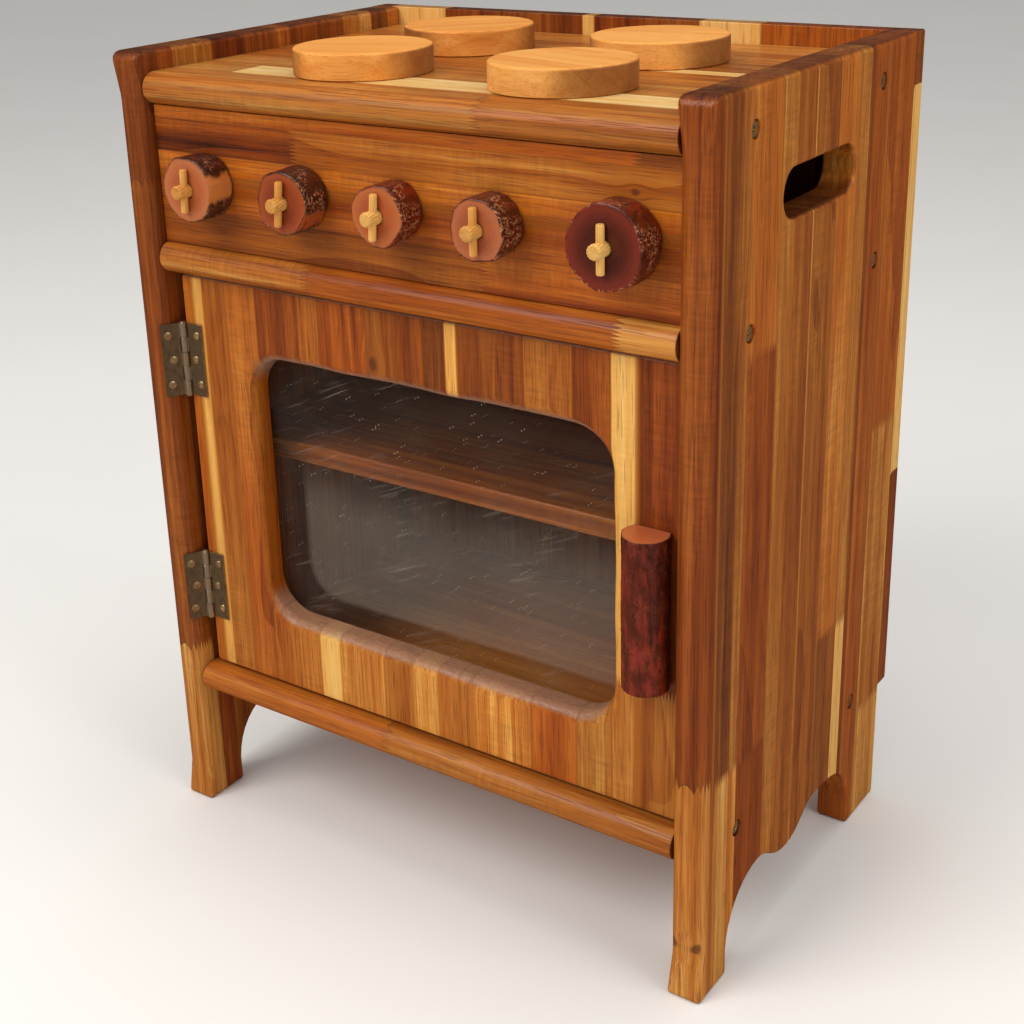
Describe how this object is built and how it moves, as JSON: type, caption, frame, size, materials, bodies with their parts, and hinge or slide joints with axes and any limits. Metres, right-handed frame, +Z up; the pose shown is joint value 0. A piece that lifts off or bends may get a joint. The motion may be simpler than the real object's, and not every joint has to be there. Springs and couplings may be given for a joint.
{
  "type": "toy kitchen",
  "caption": "Wooden play kitchen: hob with round burners over branch-slice knobs and a cabinet oven with a hinged, windowed door, on legs cut into the side panels.",
  "frame": {"origin": "middle of the footprint of the whole object's box, on the floor", "axes": "+Z up, -Y towards the child who stands in front of the oven door, +X to that child's right"},
  "size_m": [0.422, 0.299, 0.5433],
  "materials": {
    "side_wood": "edge-glued reddish brown hardwood staves, satin clear lacquer",
    "board_wood": "golden brown hardwood, satin clear lacquer, grain along the board",
    "door_wood": "edge-glued upright hardwood staves with pale sapwood strips, satin clear lacquer",
    "burner_wood": "light tan hardwood, sanded smooth and oiled",
    "bark": "branch with dark red-brown flaky bark, cut faces sanded and lacquered",
    "dowel_wood": "pale beech dowel, unfinished",
    "acrylic": "clear acrylic sheet with fine scratches",
    "hinge_metal": "dull nickel plated steel",
    "screw_metal": "yellow passivated steel",
    "catch_plastic": "brown moulded plastic"
  },
  "bodies": {
    "carcass": {"left_side": "side_wood", "right_side": "side_wood", "bottom_board": "board_wood", "middle_board": "board_wood", "hob_board": "board_wood", "fascia": "board_wood", "back_panel": "side_wood", "left_screw_1": "screw_metal", "left_screw_2": "screw_metal", "left_screw_3": "screw_metal", "left_screw_4": "screw_metal", "left_screw_5": "screw_metal", "left_screw_6": "screw_metal", "right_screw_1": "screw_metal", "right_screw_2": "screw_metal", "right_screw_3": "screw_metal", "right_screw_4": "screw_metal", "right_screw_5": "screw_metal", "right_screw_6": "screw_metal", "upper_hinge_frame_leaf": "hinge_metal", "upper_hinge_pin": "hinge_metal", "lower_hinge_frame_leaf": "hinge_metal", "lower_hinge_pin": "hinge_metal", "knob_dowel_1": "dowel_wood", "knob_cross_pin_1": "dowel_wood", "knob_dowel_2": "dowel_wood", "knob_cross_pin_2": "dowel_wood", "knob_dowel_3": "dowel_wood", "knob_cross_pin_3": "dowel_wood", "knob_dowel_4": "dowel_wood", "knob_cross_pin_4": "dowel_wood", "knob_dowel_5": "dowel_wood", "knob_cross_pin_5": "dowel_wood", "burner_front_left": "burner_wood", "burner_front_right": "burner_wood", "burner_rear_left": "burner_wood", "burner_rear_right": "burner_wood", "oven_shelf": "board_wood", "shelf_cleat_left": "board_wood", "shelf_cleat_right": "board_wood", "magnet_catch": "catch_plastic"},
    "door": {"door_panel": "door_wood", "window_pane": "acrylic", "door_handle": "bark", "upper_hinge_door_leaf": "hinge_metal", "lower_hinge_door_leaf": "hinge_metal", "strike_plate": "hinge_metal", "pane_screw_1": "screw_metal", "pane_screw_2": "screw_metal", "pane_screw_3": "screw_metal", "pane_screw_4": "screw_metal", "handle_screw_1": "screw_metal", "handle_screw_2": "screw_metal"},
    "knob_1_body": {"knob_1": "bark"},
    "knob_2_body": {"knob_2": "bark"},
    "knob_3_body": {"knob_3": "bark"},
    "knob_4_body": {"knob_4": "bark"},
    "knob_5_body": {"knob_5": "bark"}
  },
  "joints": [
    {"name": "door_hinge", "type": "hinge", "parent": "carcass", "child": "door", "pos_m": [-0.183, -0.1171, 0.2545], "axis": [0, 0, -1], "range_deg": [0, 105]},
    {"name": "knob_1_turn", "type": "hinge", "parent": "carcass", "child": "knob_1_body", "pos_m": [-0.144, -0.1295, 0.46], "axis": [0, -1, 0], "continuous": true},
    {"name": "knob_2_turn", "type": "hinge", "parent": "carcass", "child": "knob_2_body", "pos_m": [-0.067, -0.1295, 0.46], "axis": [0, -1, 0], "continuous": true},
    {"name": "knob_3_turn", "type": "hinge", "parent": "carcass", "child": "knob_3_body", "pos_m": [0.004, -0.1295, 0.46], "axis": [0, -1, 0], "continuous": true},
    {"name": "knob_4_turn", "type": "hinge", "parent": "carcass", "child": "knob_4_body", "pos_m": [0.073, -0.1295, 0.46], "axis": [0, -1, 0], "continuous": true},
    {"name": "knob_5_turn", "type": "hinge", "parent": "carcass", "child": "knob_5_body", "pos_m": [0.153, -0.1295, 0.46], "axis": [0, -1, 0], "continuous": true}
  ]
}
